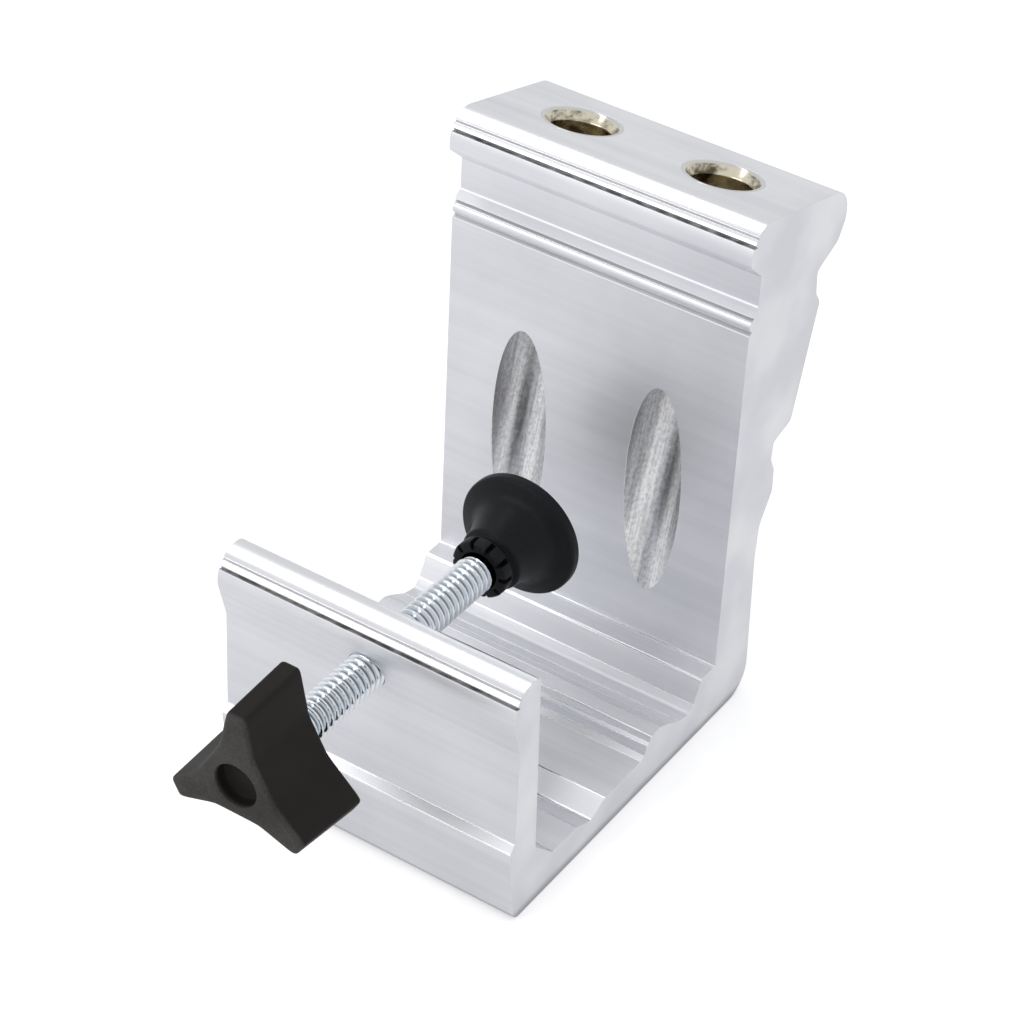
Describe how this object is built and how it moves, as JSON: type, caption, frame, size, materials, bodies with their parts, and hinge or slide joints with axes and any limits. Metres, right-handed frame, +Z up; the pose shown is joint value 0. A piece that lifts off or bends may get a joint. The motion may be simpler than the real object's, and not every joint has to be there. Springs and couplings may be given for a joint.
{
  "type": "pocket hole jig",
  "caption": "Extruded aluminium pocket hole jig with angled steel drill guides, a sloping head and a screw clamp with a swivel pad and a lobed knob.",
  "frame": {"origin": "on the underside, in the middle of the width, directly below the clamping face", "axes": "+X along the extrusion to the right seen from the knob, +Y from the front wall to the tall wall, +Z up"},
  "size_m": [0.054, 0.1182, 0.0946],
  "materials": {
    "body_aluminium": "as extruded, with fine lines along the width; drilled and milled surfaces bright",
    "bush_steel": "hardened and ground, bright",
    "screw_zinc": "bright zinc plate",
    "pad_plastic": "moulded, satin black",
    "knob_plastic": "moulded, matte brown-black"
  },
  "bodies": {
    "jig": {"jig_body": "body_aluminium", "guide_bush_left": "bush_steel", "guide_bush_right": "bush_steel"},
    "pad": {"clamp_pad": "pad_plastic"},
    "screw": {"clamp_screw": "screw_zinc", "star_knob": "knob_plastic"}
  },
  "joints": [
    {"name": "pad_slide", "type": "slide", "parent": "jig", "child": "pad", "axis": [0, 1, 0], "range_m": [-0.0229, 0.0166]},
    {"name": "screw_turn", "type": "hinge", "parent": "pad", "child": "screw", "pos_m": [0, -0.0229, 0.0372], "axis": [0, 1, 0], "range_deg": [-6480, 4680]}
  ],
  "couplings": [
    {"joint": "pad_slide", "follows": "screw_turn", "m_per_rad": 0.00020213}
  ]
}
